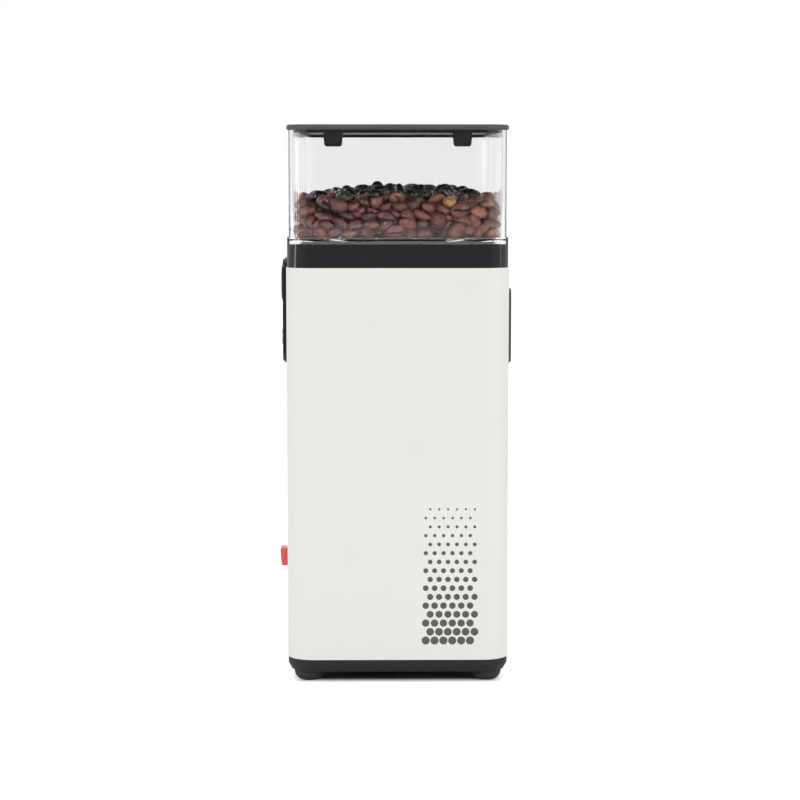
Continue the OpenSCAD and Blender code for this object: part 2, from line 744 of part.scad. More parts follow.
module power_inlet() {
  y = back_y - 32;
  z = 38;
  color([0.08, 0.08, 0.08]) {
    difference() {
      union() {
        side_plate(half_w, half_w + 2, y - 16, y + 16, z - 12.5, z + 12.5, 3);
        box([half_w - 19, y - 13.5, z - 9.5], [half_w + eps, y + 13.5, z + 9.5]);
      }
      side_plate(half_w - 15, half_w + 3, y - 12, y + 12, z - 8, z + 8, 2);
    }
    for (p = [[-7, -1.5], [0, 1.5], [7, -1.5]])
      box([half_w - 25, y + p[0] - 1, z + p[1] - 2], [half_w - 5, y + p[0] + 1, z + p[1] + 2]);
  }
}

// ---------- Working side ----------

module outlet_chute() {
  color([0.14, 0.14, 0.15]) difference() {
    union() {
      box([-12.5, cy + 47, 177.5], [12.5, back_y - shell_t, 198.5]);
      box([-22, back_y - shell_t - 2, 173], [22, back_y - shell_t, 203]);
    }
    box([-9, cy + 46, 181], [9, back_y, 195]);
    for (s = [-1, 1]) bar_y(1.7, back_y - 6, back_y, s * spout_screw_x, 188);
  }
}

module spout_nozzle() {
  color([0.12, 0.12, 0.13]) difference() {
    union() {
      back_plate(back_y, back_y + 2.5, -22, 22, 173, 203, 4);
      box([-nozzle_r, back_y + 2, 176], [nozzle_r, spout_y, nozzle_z1]);
      translate([0, spout_y, 166]) cylinder(r = nozzle_r, h = nozzle_z1 - 166);
      translate([0, spout_y, nozzle_z0]) cylinder(r1 = 11, r2 = nozzle_r, h = 9.01);
    }
    translate([0, spout_y, 165.9]) cylinder(r = nozzle_r - 2, h = nozzle_z1 - 168);
    translate([0, spout_y, nozzle_z0 - 1]) cylinder(r1 = 8.7, r2 = nozzle_r - 2, h = 10);
    box([-9, back_y - 1, 179], [9, spout_y, 196.9]);
    for (s = [-1, 1]) bar_y(1.7, back_y - 1, back_y + 4, s * spout_screw_x, 188);
    bar_x(1.1, -11.5, 11.5, back_y + 14, 194.6);
  }
}

module chute_flap() {
  color([0.6, 0.6, 0.6]) {
    bar_x(1, -11, 11, back_y + 14, 194.6);
    box([-8.3, back_y + 13.4, 181.6], [8.3, back_y + 14.2, 194.6]);
  }
}

module display_panel() {
  color([0.07, 0.07, 0.08]) difference() {
    back_plate(back_y, back_y + 2.2, -34, 34, display_z0, display_z1, 5);
    box([-27.5, back_y - 1, 212.5], [3.5, back_y + 3, 227.5]);
    for (x = dose_x) bar_y(5.3, back_y + 0.8, back_y + 3, x, dose_z);
    for (x = dose_x) bar_y(3.3, back_y - 1, back_y + 3, x, dose_z);
  }
}

module display_lens() {
  color([0.05, 0.07, 0.1]) box([-27.3, back_y, 212.7], [3.3, back_y + 1.8, 227.3]);
}

module dose_button(x) {
  color([0.75, 0.76, 0.77]) {
    bar_y(5, back_y + 2, back_y + 3.6, x, dose_z);
    bar_y(3, back_y - 6, back_y + 2.1, x, dose_z);
  }
}

module control_board() {
  y = back_y - 13;
  color([0.1, 0.35, 0.2]) box([-30, y, 204], [33, y + 1.6, 230]);
  color([0.15, 0.15, 0.16]) {
    for (x = dose_x) box([x - 3, y + 1.5, dose_z - 3], [x + 3, y + 5.5, dose_z + 3]);
    box([-26, y + 1.5, 214], [2, y + 10, 226]);
    for (x = [-27.5, 30.5], z = [206.5, 227.5]) bar_y(2, y + 1.5, back_y - shell_t, x, z);
  }
}

module start_plunger() {
  color([0.75, 0.76, 0.77]) {
    bar_y(8, back_y + 5, back_y + 10, 0, plunger_z);
    bar_y(5, back_y - 12, back_y + 5.1, 0, plunger_z);
  }
}

module start_switch() {
  color([0.15, 0.15, 0.16]) {
    box([-10, back_y - 28, plunger_z - 6], [10, back_y - 17.5, plunger_z + 6]);
    for (x = [-8, 8]) bar_y(1.6, back_y - 17.6, back_y - shell_t, x, plunger_z);
  }
  color([0.8, 0.8, 0.8]) box([-2, back_y - 17.6, plunger_z - 2], [2, back_y - 15.6, plunger_z + 2]);
}

// A tee rail: the fork's lips run behind its flange
module fork_rail() {
  color([0.72, 0.73, 0.74]) difference() {
    union() {
      box([-6, back_y, rail_z0], [6, back_y + 3.1, rail_z1]);
      box([-9, back_y + 3, rail_z0], [9, back_y + 7, rail_z1]);
    }
    for (z = [rail_z0 + 6, rail_z1 - 6]) {
      bar_y(2, back_y - 1, back_y + 8, 0, z);
      bar_y(3.8, back_y + 4.5, back_y + 8, 0, z);
    }
  }
}

// The outline of the fork: a ring's arc with round tips, joined to its slide block
module fork_outline() {
  reach = fork_reach - 10;
  centre = 28;
  mid = fork_bore + fork_rim / 2;
  tip = asin((reach - fork_rim / 2 - centre) / mid);
  translate([0, centre]) difference() {
    circle(r = fork_bore + fork_rim);
    circle(r = fork_bore);
    polygon([[0, 0], [60 * cos(tip), 60 * sin(tip)], [60, 90], [-60, 90], [-60 * cos(tip), 60 * sin(tip)]]);
    translate([-30, -60]) square([60, 24]);
  }
  for (s = [-1, 1]) translate([s * mid * cos(tip), centre + mid * sin(tip)]) circle(r = fork_rim / 2);
}

module portafilter_fork() {
  color([0.8, 0.81, 0.82]) difference() {
    union() {
      back_plate(back_y + 0.6, back_y + 13, -15, 15, fork_z - 5, fork_z + fork_t + 5, 3);
      translate([0, back_y + 10, fork_z]) linear_extrude(fork_t) fork_outline();
      box([-15, back_y + 10, fork_z], [-8, back_y + 16, fork_z + fork_t]);
      box([8, back_y + 10, fork_z], [15, back_y + 16, fork_z + fork_t]);
    }
    translate([0, back_y + 38, fork_z - 6]) cylinder(r = fork_bore, h = fork_t + 12);
    box([-6.3, back_y - 1, fork_z - 8], [6.3, back_y + 4, fork_z + fork_t + 8]);
    box([-9.3, back_y + 2.7, fork_z - 8], [9.3, back_y + 7.3, fork_z + fork_t + 8]);
  }
}

// ---------- Electrics ----------

module power_board() {
  y = front_y + 14;
  color([0.12, 0.38, 0.22]) box([-42, y, 48], [42, y + 1.6, 118]);
  color([0.2, 0.2, 0.22]) {
    box([-36, y + 1.5, 56], [-14, y + 16, 78]);
    box([4, y + 1.5, 60], [20, y + 14, 72]);
    box([26, y + 1.5, 54], [38, y + 12, 86]);
    for (x = [-24, -8]) bar_y(6, y + 1.5, y + 18, x, 96);
    for (x = [-38, 38], z = [52, 114]) bar_y(2.5, front_y + shell_t, y + eps, x, z);
  }
}

module run_capacitor() {
  y = front_y + 34;
  color([0.85, 0.85, 0.86]) bar_x(14, -26, 30, y, 27);
  color([0.3, 0.3, 0.3]) {
    bar_x(10, 29.9, 34, y, 27);
    for (x = [-18, 16]) box([x, y - 6, tray_floor_z + plate_t], [x + 6, y + 6, 15]);
  }
  color("silver") for (s = [-4, 4]) box([33, y + s - 2, 26.6], [40, y + s + 2, 27.4]);
}

// ---------- Hopper ----------

module bean_hopper() {
  color([0.85, 0.87, 0.88, 0.35]) difference() {
    union() {
      frame_ring(body_w - 1, body_d - 1, corner_r - 0.5, hopper_t + 0.5, collar_z1, rim_z1);
      frame_ring(hopper_w, hopper_d, corner_r - 1, hopper_t, collar_z1, hopper_z1);
      frame_ring(hopper_in_w - 0.5, hopper_in_d - 0.5, corner_r - 4, 2.2, deck_z + 8.1, rim_z1);
      hull() {
        slab(hopper_in_w + 0.1, hopper_in_d + 0.1, corner_r - 3.5, rim_z1 - 2, rim_z1 - 1);
        slab(52, 60, 10, throat_z - 1.6, throat_z - 0.6);
      }
      box([-25, cy - 64, deck_z + 1.2], [25, cy + 78, deck_z + 5.8]);
      disc(21.6, 226, deck_z + 2.6);
    }
    hull() {
      slab(hopper_in_w, hopper_in_d, corner_r - 3.5, rim_z1, rim_z1 + 1);
      translate([0, cy, throat_z + 0.4]) cylinder(r = throat_r, h = 0.6);
    }
    disc(throat_r, 225, rim_z1);
    box([-22.2, cy - 62.5, deck_z + 2.2], [22.2, cy + 79, deck_z + 4.6]);
  }
}

module shutter_slide() {
  color([0.16, 0.17, 0.18]) difference() {
    union() {
      box([-22, cy - 62, shutter_z], [22, cy + 40, shutter_z + shutter_t]);
      box([-12, cy + 39, shutter_z], [12, back_y + 8, shutter_z + shutter_t]);
      box([-12, back_y + 5, shutter_z - 1.5], [12, back_y + 8, shutter_z + shutter_t + 2.5]);
    }
    disc(throat_r, shutter_z - 1, shutter_z + shutter_t + 1);
  }
}

module hopper_lid() {
  color([0.24, 0.24, 0.25]) difference() {
    union() {
      hull() {
        slab(lid_w, body_d, corner_r, lid_z + 0.9, lid_z + lid_t - 1);
        slab(lid_w - 1.6, body_d - 1.6, corner_r - 0.8, lid_z, lid_z + lid_t);
      }
      frame_ring(hopper_in_w - 2.4, hopper_in_d - 2.4, corner_r - 4.7, 2.5, lid_z - skirt_h, lid_z + 0.5);
      for (s = [-1, 1]) translate([s * tab_x, cy - hopper_in_d / 2 + 3.4, lid_z]) rotate([90, 0, 0])
        linear_extrude(2) polygon([[-5.5, 0.5], [5.5, 0.5], [5.5, -3.6], [4.9, -8.6], [4, -9.4], [-4, -9.4],
                                   [-4.9, -8.6], [-5.5, -3.6]]);
    }
    frame_ring(hopper_in_w - 2.3, hopper_in_d - 2.3, corner_r - 4.7, 0.8, lid_z - 1.3, lid_z - 0.3);
  }
}

module lid_gasket() {
  color([0.12, 0.12, 0.13])
    frame_ring(hopper_in_w - 0.4, hopper_in_d - 0.4, corner_r - 3.7, 1.7, lid_z - 1.2, lid_z - 0.4);
}

module coffee_beans() {
  color([0.3, 0.18, 0.13]) {
    hull() {
      slab(hopper_in_w - 1, hopper_in_d - 1, corner_r - 4, rim_z1 + 1.6, 281);
      slab(hopper_in_w - 30, hopper_in_d - 30, 10, 283, 285);
    }
    hull() {
      slab(hopper_in_w - 1, hopper_in_d - 1, corner_r - 4, rim_z1 + 1.5, rim_z1 + 2);
      translate([0, cy, throat_z + 2.4]) cylinder(r = throat_r - 1, h = 0.6);
    }
  }
}

body_shell();
base_tray();
foot(-1, -1);  // foot_front_left
foot(1, -1);  // foot_front_right
foot(-1, 1);  // foot_rear_left
foot(1, 1);  // foot_rear_right
case_screws();
chassis_frame();
frame_dampers();
motor_lower_bell();
motor_upper_bell();
stator_core();
stator_windings();
motor_tie_bolts();
motor_bearings();
grinding_chamber();
chamber_cover();
ring_retainer();
preload_spring();
worm_brackets();
outlet_chute();
spout_nozzle();
top_collar();
control_panel();
switch_bezel();
vent_grille();
power_inlet();
display_panel();
display_lens();
control_board();
power_board();
run_capacitor();
start_switch();
fork_rail();
motor_shaft();
rotor_core();
cooling_fan();
lower_burr_carrier();
lower_burr();
lower_burr_fixings();
grind_dial();
worm_shaft();
worm_screw();
adjusting_ring();
upper_burr_carrier();
upper_burr();
upper_burr_screws();
power_rocker();
mode_button();
dose_button(dose_x[0]);  // dose_button_single
dose_button(dose_x[1]);  // dose_button_double
start_plunger();
portafilter_fork();
chute_flap();
bean_hopper();
shutter_slide();
hopper_lid();
lid_gasket();
coffee_beans();
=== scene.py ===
"""Looks of a compact flat-burr coffee grinder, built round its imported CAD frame.

Metres throughout, in the frame's axes: +Z up, -Y the plain face, +Y the working side with spout and fork.
"""
import json
import math
import random

import bmesh
import bpy
import numpy as np
from mathutils import Matrix, Vector


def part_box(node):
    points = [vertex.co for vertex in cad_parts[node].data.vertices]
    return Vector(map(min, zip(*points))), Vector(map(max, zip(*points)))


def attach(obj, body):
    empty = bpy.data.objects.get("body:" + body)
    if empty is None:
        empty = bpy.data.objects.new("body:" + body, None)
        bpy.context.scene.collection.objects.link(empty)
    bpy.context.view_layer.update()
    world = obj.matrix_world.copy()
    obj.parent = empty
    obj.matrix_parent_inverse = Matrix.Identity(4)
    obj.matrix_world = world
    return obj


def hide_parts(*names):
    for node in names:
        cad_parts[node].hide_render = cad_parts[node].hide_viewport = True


MM = 0.001

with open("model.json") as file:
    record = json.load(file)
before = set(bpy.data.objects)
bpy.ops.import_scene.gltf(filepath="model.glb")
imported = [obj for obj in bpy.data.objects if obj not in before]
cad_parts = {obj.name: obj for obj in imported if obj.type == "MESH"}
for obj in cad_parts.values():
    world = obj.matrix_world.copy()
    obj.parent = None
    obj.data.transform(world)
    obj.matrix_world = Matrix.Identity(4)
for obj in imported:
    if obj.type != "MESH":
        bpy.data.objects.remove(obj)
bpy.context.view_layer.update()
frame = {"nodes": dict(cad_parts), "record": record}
nodes = frame["nodes"]


# ---------- Places taken from the frame ----------

shell_low, shell_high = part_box("body_shell")
panel_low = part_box("control_panel")[0]
dial_low, dial_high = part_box("grind_dial")
dial_middle = (dial_low + dial_high) / 2
rocker_low, rocker_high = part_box("power_rocker")
display_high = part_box("display_panel")[1]
lens_low, lens_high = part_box("display_lens")
beans_low, beans_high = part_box("coffee_beans")
lid_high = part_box("hopper_lid")[1]
front_y = shell_low.y
back_y = shell_high.y
shell_centre_y = (front_y + back_y) / 2
hopper_floor = beans_high.z - 29.0 * MM


# ---------- Camera ----------

CAMERA_DISTANCE = 1.2335         # from the plain face
CAMERA_HEIGHT = 0.2918
CAMERA_LEFT = 0.010
AIM_HEIGHT = 0.1643
AIM_RIGHT = 0.0012
CAMERA_LENS = 98.1


def make_camera():
    data = bpy.data.cameras.new("camera")
    data.lens = CAMERA_LENS
    data.sensor_width = 36
    data.clip_start, data.clip_end = 0.05, 50
    camera = bpy.data.objects.new("camera", data)
    bpy.context.scene.collection.objects.link(camera)
    camera.location = (-CAMERA_LEFT, front_y - CAMERA_DISTANCE, CAMERA_HEIGHT)
    aim = Vector((AIM_RIGHT, front_y, AIM_HEIGHT))
    camera.rotation_euler = (aim - camera.location).to_track_quat("-Z", "Y").to_euler()
    bpy.context.scene.camera = camera


make_camera()


# ---------- Node helpers for materials ----------

def new_material(name):
    """An empty node material with one Principled shader, as (material, nodes, links, shader)."""
    mat = bpy.data.materials.new(name)
    mat.use_nodes = True
    tree = mat.node_tree
    shader = tree.nodes["Principled BSDF"]
    return mat, tree.nodes, tree.links, shader


def object_coordinates(tree_nodes, links, stretch=(1, 1, 1)):
    """Row-frame coordinates in metres, scaled by stretch to draw grain out along an axis."""
    source = tree_nodes.new("ShaderNodeTexCoord")
    mapping = tree_nodes.new("ShaderNodeMapping")
    mapping.inputs["Scale"].default_value = stretch
    links.new(source.outputs["Object"], mapping.inputs["Vector"])
    return mapping.outputs["Vector"]


def noise_at(tree_nodes, links, vector, scale, detail=3.0, rough=0.55):
    tex = tree_nodes.new("ShaderNodeTexNoise")
    tex.inputs["Scale"].default_value = scale
    tex.inputs["Detail"].default_value = detail
    tex.inputs["Roughness"].default_value = rough
    links.new(vector, tex.inputs["Vector"])
    return tex.outputs["Fac"]


def spread(tree_nodes, links, value, low, high, start=0.3, end=0.7):
    """Maps a noise value's usual span onto low..high."""
    node = tree_nodes.new("ShaderNodeMapRange")
    node.inputs["From Min"].default_value = start
    node.inputs["From Max"].default_value = end
    node.inputs["To Min"].default_value = low
    node.inputs["To Max"].default_value = high
    links.new(value, node.inputs["Value"])
    return node.outputs["Result"]


def blend_colours(tree_nodes, links, factor, first, second):
    node = tree_nodes.new("ShaderNodeMix")
    node.data_type = "RGBA"
    node.inputs["A"].default_value = (*first, 1)
    node.inputs["B"].default_value = (*second, 1)
    links.new(factor, node.inputs["Factor"])
    return node.outputs["Result"]


def bump_from(tree_nodes, links, height, distance, strength=1.0):
    node = tree_nodes.new("ShaderNodeBump")
    node.inputs["Strength"].default_value = strength
    node.inputs["Distance"].default_value = distance
    links.new(height, node.inputs["Height"])
    return node.outputs["Normal"]


def math_node(tree, operation, first, second=0.0):
    node = tree.nodes.new("ShaderNodeMath")
    node.operation = operation
    for socket, value in zip(node.inputs, (first, second)):
        if isinstance(value, (int, float)):
            socket.default_value = value
        else:
            tree.links.new(value, socket)
    return node.outputs["Value"]


def split_xyz(tree, vector):
    node = tree.nodes.new("ShaderNodeSeparateXYZ")
    tree.links.new(vector, node.inputs["Vector"])
    return node


def shade(colour, factor):
    return tuple(min(1.0, c * factor) for c in colour)


# ---------- Materials ----------

def moulded(name, colour, rough, grain=0.00002, grain_scale=2600, vary=0.12, specular=0.5):
    """Moulded or painted surface: fine texture in the bump, slow changes of tone and gloss."""
    mat, tn, ln, shader = new_material(name)
    here = object_coordinates(tn, ln)
    tone = spread(tn, ln, noise_at(tn, ln, here, 28, 4), 0, 1)
    fine = noise_at(tn, ln, here, grain_scale, 2)
    ln.new(blend_colours(tn, ln, tone, shade(colour, 1 - vary / 2), shade(colour, 1 + vary / 2)),
           shader.inputs["Base Color"])
    gloss = noise_at(tn, ln, here, 160, 4)
    ln.new(spread(tn, ln, gloss, rough * 0.9, rough * 1.12), shader.inputs["Roughness"])
    ln.new(bump_from(tn, ln, fine, grain), shader.inputs["Normal"])
    shader.inputs["Specular IOR Level"].default_value = specular
    return mat


def brushed(name, colour, rough, along="z"):
    """Metal with a grain drawn out along one axis."""
    mat, tn, ln, shader = new_material(name)
    stretch = {"x": (1, 30, 30), "y": (30, 1, 30), "z": (30, 30, 1)}[along]
    here = object_coordinates(tn, ln, stretch)
    streak = noise_at(tn, ln, here, 60, 5, 0.65)
    ln.new(blend_colours(tn, ln, spread(tn, ln, streak, 0, 1), shade(colour, 0.86), shade(colour, 1.08)),
           shader.inputs["Base Color"])
    ln.new(spread(tn, ln, streak, rough * 0.75, rough * 1.25), shader.inputs["Roughness"])
    ln.new(bump_from(tn, ln, streak, 0.00001), shader.inputs["Normal"])
    shader.inputs["Metallic"].default_value = 1.0
    return mat


def cast_alloy(name, colour, rough):
    """Die-cast metal: pebbled skin with duller patches."""
    mat, tn, ln, shader = new_material(name)
    here = object_coordinates(tn, ln)
    pebble = noise_at(tn, ln, here, 900, 3)
    patch = noise_at(tn, ln, here, 45, 4)
    ln.new(blend_colours(tn, ln, spread(tn, ln, patch, 0, 1), shade(colour, 0.8), shade(colour, 1.05)),
           shader.inputs["Base Color"])
    ln.new(spread(tn, ln, patch, rough * 0.85, rough * 1.2), shader.inputs["Roughness"])
    ln.new(bump_from(tn, ln, pebble, 0.00006), shader.inputs["Normal"])
    shader.inputs["Metallic"].default_value = 0.9
    return mat


def clear_plastic(name):
    """Clear moulded plastic, faintly polished in patches."""
    mat, tn, ln, shader = new_material(name)
    here = object_coordinates(tn, ln)
    ln.new(spread(tn, ln, noise_at(tn, ln, here, 35, 3), 0.012, 0.035), shader.inputs["Roughness"])
    shader.inputs["Base Color"].default_value = (0.978, 0.973, 0.969, 1)
    shader.inputs["Transmission Weight"].default_value = 1.0
    shader.inputs["IOR"].default_value = 1.49
    return mat


def lid_plastic(name):
    """Grained grey on the plate; what reaches down inside the hopper is painted near black as painted
    shade.
    """
    mat, tn, ln, shader = new_material(name)
    here = object_coordinates(tn, ln)
    parts = split_xyz(mat.node_tree, here)
    # painted shade: from about 3 mm under the lid's top downwards the colour turns near black
    below = spread(tn, ln, parts.outputs["Z"], 1, 0, lid_high.z - 3.4 * MM, lid_high.z - 2.9 * MM)
    tone = spread(tn, ln, noise_at(tn, ln, here, 28, 4), 0, 0.12)
    mixed = math_node(mat.node_tree, "ADD", below, tone)
    ln.new(blend_colours(tn, ln, mixed, (0.083, 0.083, 0.084), (0.011, 0.011, 0.012)),
           shader.inputs["Base Color"])
    ln.new(bump_from(tn, ln, noise_at(tn, ln, here, 1900, 2), 0.00003), shader.inputs["Normal"])
    shader.inputs["Roughness"].default_value = 0.5
    shader.inputs["Specular IOR Level"].default_value = 0.35
    return mat


def wound_copper(name):
    """Enamelled wire laid round the motor's axis."""
    mat, tn, ln, shader = new_material(name)
    here = object_coordinates(tn, ln)
    wave = tn.new("ShaderNodeTexWave")
    wave.bands_direction = "Z"
    wave.inputs["Scale"].default_value = 260
    wave.inputs["Distortion"].default_value = 1.4
    ln.new(here, wave.inputs["Vector"])
    wires = wave.outputs["Fac"]
    ln.new(blend_colours(tn, ln, wires, (0.22, 0.07, 0.02), (0.72, 0.30, 0.10)),
           shader.inputs["Base Color"])
    ln.new(bump_from(tn, ln, wires, 0.0003), shader.inputs["Normal"])
    shader.inputs["Metallic"].default_value = 0.7
    shader.inputs["Roughness"].default_value = 0.33
    return mat


def stacked_steel(name):
    """Laminations: thin dark lines between bright edges, stacked up the motor's axis."""
    mat, tn, ln, shader = new_material(name)
    here = object_coordinates(tn, ln)
    wave = tn.new("ShaderNodeTexWave")
    wave.bands_direction = "Z"
    wave.inputs["Scale"].default_value = 320
    wave.inputs["Distortion"].default_value = 0.1
    ln.new(here, wave.inputs["Vector"])
    ln.new(blend_colours(tn, ln, wave.outputs["Fac"], (0.08, 0.08, 0.085), (0.30, 0.30, 0.31)),
           shader.inputs["Base Color"])
    ln.new(bump_from(tn, ln, wave.outputs["Fac"], 0.0001), shader.inputs["Normal"])
    shader.inputs["Metallic"].default_value = 0.85
    shader.inputs["Roughness"].default_value = 0.42
    return mat


def circuit_board(name):
    """Green solder mask with paler tracks."""
    mat, tn, ln, shader = new_material(name)
    here = object_coordinates(tn, ln)
    cells = tn.new("ShaderNodeTexVoronoi")
    cells.distance = "CHEBYCHEV"
    cells.inputs["Scale"].default_value = 260
    ln.new(here, cells.inputs["Vector"])
    track = spread(tn, ln, cells.outputs["Distance"], 0, 1, 0.42, 0.5)
    ln.new(blend_colours(tn, ln, track, (0.012, 0.10, 0.045), (0.05, 0.26, 0.11)),
           shader.inputs["Base Color"])
    ln.new(bump_from(tn, ln, track, 0.00004), shader.inputs["Normal"])
    shader.inputs["Roughness"].default_value = 0.3
    return mat


def roasted(name):
    """Coffee beans: each bean has its own tone in the attribute bean_tone_and_shade, darker in its crease."""
    mat, tn, ln, shader = new_material(name)
    here = object_coordinates(tn, ln)
    # the per-bean tone is random roast tone, plus painted shade on the beans at the top of the pile
    tone = tn.new("ShaderNodeAttribute")
    tone.attribute_name = "bean_tone_and_shade"
    ramp = tn.new("ShaderNodeValToRGB")
    stops = ramp.color_ramp.elements
    stops[0].position, stops[0].color = 0.0, (0.016, 0.010, 0.010, 1)
    stops[1].position, stops[1].color = 1.0, (0.70, 0.38, 0.17, 1)
    browns = ((0.2, (0.026, 0.014, 0.013)), (0.5, (0.165, 0.050, 0.043)), (0.9, (0.42, 0.145, 0.105)))
    for place, colour in browns:
        stop = stops.new(place)
        stop.color = (*colour, 1)
    ln.new(tone.outputs["Fac"], ramp.inputs["Fac"])
    mottle = spread(tn, ln, noise_at(tn, ln, here, 520, 5, 0.65), 0.62, 1.3)
    # painted shade: the crease is darkened down to a tenth of the bean's colour
    crease = tn.new("ShaderNodeAttribute")
    crease.attribute_name = "bean_crease"
    shadow = spread(tn, ln, crease.outputs["Fac"], 1.0, 0.1, 0.12, 0.8)
    shadowed = math_node(mat.node_tree, "MULTIPLY", mottle, shadow)
    tint = tn.new("ShaderNodeMix")
    tint.data_type = "RGBA"
    tint.blend_type = "MULTIPLY"
    tint.inputs["Factor"].default_value = 1.0
    ln.new(ramp.outputs["Color"], tint.inputs["A"])
    ln.new(shadowed, tint.inputs["B"])
    ln.new(tint.outputs["Result"], shader.inputs["Base Color"])
    wrinkle = noise_at(tn, ln, here, 900, 4, 0.6)
    ln.new(bump_from(tn, ln, wrinkle, 0.00025, 0.7), shader.inputs["Normal"])
    ln.new(spread(tn, ln, noise_at(tn, ln, here, 300, 3), 0.2, 0.42), shader.inputs["Roughness"])
    shader.inputs["Specular IOR Level"].default_value = 0.35
    shader.inputs["Coat Weight"].default_value = 0.75
    shader.inputs["Coat Roughness"].default_value = 0.13
    return mat


def lit_marks(name, colour, power):
    mat, tn, ln, shader = new_material(name)
    here = object_coordinates(tn, ln)
    glow = spread(tn, ln, noise_at(tn, ln, here, 400, 2), power * 0.9, power * 1.1)
    shader.inputs["Base Color"].default_value = (*colour, 1)
    shader.inputs["Emission Color"].default_value = (*colour, 1)
    ln.new(glow, shader.inputs["Emission Strength"])
    shader.inputs["Roughness"].default_value = 0.4
    return mat


MATERIALS = {
    "shell_white": moulded("white_powder_coat", (0.845, 0.828, 0.797), 0.42, 0.000012, 1500, 0.02),
    "tray_black": moulded("tray_black", (0.015, 0.015, 0.014), 0.5, 0.00004, 1900, 0.2, 0.35),
    "foot_rubber": moulded("foot_rubber", (0.036, 0.037, 0.038), 0.62, 0.00006, 1500, 0.25, 0.3),
    "screw_steel": brushed("screw_steel", (0.62, 0.62, 0.63), 0.3),
    "frame_steel": brushed("frame_steel", (0.56, 0.57, 0.58), 0.38),
    "damper_rubber": moulded("damper_rubber", (0.02, 0.02, 0.02), 0.7, 0.00006, 1500, 0.2, 0.3),
    "bell_alloy": cast_alloy("bell_alloy", (0.62, 0.63, 0.64), 0.42),
    "core_steel": stacked_steel("core_steel"),
    "winding_copper": wound_copper("winding_copper"),
    "bearing_steel": brushed("bearing_steel", (0.72, 0.73, 0.74), 0.18),
    "chamber_alloy": cast_alloy("chamber_alloy", (0.58, 0.59, 0.60), 0.38),
    "spring_steel": brushed("spring_steel", (0.66, 0.66, 0.68), 0.25),
    "chute_black": moulded("chute_black", (0.024, 0.024, 0.026), 0.36, 0.00002, 2200, 0.15, 0.5),
    "collar_black": moulded("collar_black", (0.017, 0.018, 0.021), 0.16, 0.000004, 900, 0.12, 0.5),
    "panel_black": moulded("panel_black", (0.014, 0.014, 0.016), 0.2, 0.000006, 1200, 0.12, 0.5),
    "dial_black": moulded("dial_black", (0.022, 0.022, 0.024), 0.34, 0.00002, 2400, 0.15, 0.5),
    "grille_grey": moulded("grille_grey", (0.075, 0.075, 0.078), 0.42, 0.00003, 2200, 0.15, 0.4),
    "inlet_black": moulded("inlet_black", (0.018, 0.018, 0.018), 0.5, 0.00003, 2200, 0.15, 0.4),
    "lens_dark": moulded("lens_dark", (0.006, 0.008, 0.011), 0.07, 0.000002, 700, 0.1, 0.5),
    "board_green": circuit_board("board_green"),
    "capacitor_white": moulded("capacitor_white", (0.66, 0.66, 0.63), 0.4, 0.00002, 2000, 0.08),
    "switch_black": moulded("switch_black", (0.02, 0.02, 0.021), 0.38, 0.00002, 2400, 0.15, 0.45),
    "shaft_steel": brushed("shaft_steel", (0.68, 0.69, 0.70), 0.2, "x"),
    "fan_black": moulded("fan_black", (0.035, 0.035, 0.038), 0.45, 0.00003, 2000, 0.15),
    "carrier_steel": brushed("carrier_steel", (0.55, 0.56, 0.57), 0.3, "y"),
    "burr_steel": brushed("burr_steel", (0.46, 0.47, 0.49), 0.26, "x"),
    "screw_black": brushed("screw_black", (0.07, 0.07, 0.075), 0.32),
    "ring_brass": brushed("ring_brass", (0.66, 0.47, 0.18), 0.28),
    "rocker_red": moulded("rocker_red", (0.90, 0.125, 0.10), 0.26, 0.000008, 1400, 0.06, 0.5),
    "button_steel": brushed("button_steel", (0.64, 0.64, 0.65), 0.28),
    "fork_steel": brushed("fork_steel", (0.63, 0.63, 0.64), 0.22, "y"),
    "flap_steel": brushed("flap_steel", (0.52, 0.52, 0.53), 0.3),
    "hopper_clear": clear_plastic("hopper_clear"),
    "shutter_black": moulded("shutter_black", (0.018, 0.018, 0.02), 0.24, 0.00001, 1600, 0.12, 0.5),
    "lid_grey": lid_plastic("lid_grey"),
    "gasket_rubber": moulded("gasket_rubber", (0.02, 0.02, 0.021), 0.6, 0.00004, 1600, 0.2, 0.3),
    "bean_brown": roasted("bean_brown"),
}
PRINT_GREY = moulded("print_grey", (0.105, 0.105, 0.098), 0.45, 0.000006, 1800, 0.08, 0.4)
MARK_WHITE = moulded("mark_white", (0.74, 0.74, 0.72), 0.4, 0.000006, 1800, 0.04, 0.4)
LED_WHITE = lit_marks("led_white", (0.75, 0.88, 1.0), 2.4)

for entry in frame["record"]["subparts"]:
    mesh = nodes[entry["node"]].data
    mesh.materials.clear()
    mesh.materials.append(MATERIALS[entry["material_slot"]])


# ---------- Edges of the CAD parts ----------

def soften(name, width, segments=2, angle=40):
    """Rounds a CAD node's sharp edges with modifiers, which leave its own mesh alone."""
    node = nodes[name]
    weld = node.modifiers.new("weld", "WELD")
    weld.merge_threshold = 0.002 * MM
    bevel = node.modifiers.new("bevel", "BEVEL")
    bevel.width = width
    bevel.segments = segments
    bevel.limit_method = "ANGLE"
    bevel.angle_limit = math.radians(angle)
    bevel.harden_normals = True
    bevel.use_clamp_overlap = True
    flats = node.modifiers.new("flats", "WEIGHTED_NORMAL")
    flats.keep_sharp = True


EDGE_WIDTHS = {                  # in mm
    "top_collar": 0.35, "base_tray": 0.4, "control_panel": 0.3, "switch_bezel": 0.12,
    "vent_grille": 0.25, "power_inlet": 0.3, "display_panel": 0.3, "spout_nozzle": 0.5,
    "fork_rail": 0.4, "power_rocker": 0.45, "mode_button": 0.2, "dose_button_single": 0.3,
    "dose_button_double": 0.3, "start_plunger": 0.6, "portafilter_fork": 0.5, "shutter_slide": 0.3,
    "grind_dial": 0.15, "hopper_lid": 0.3,
}


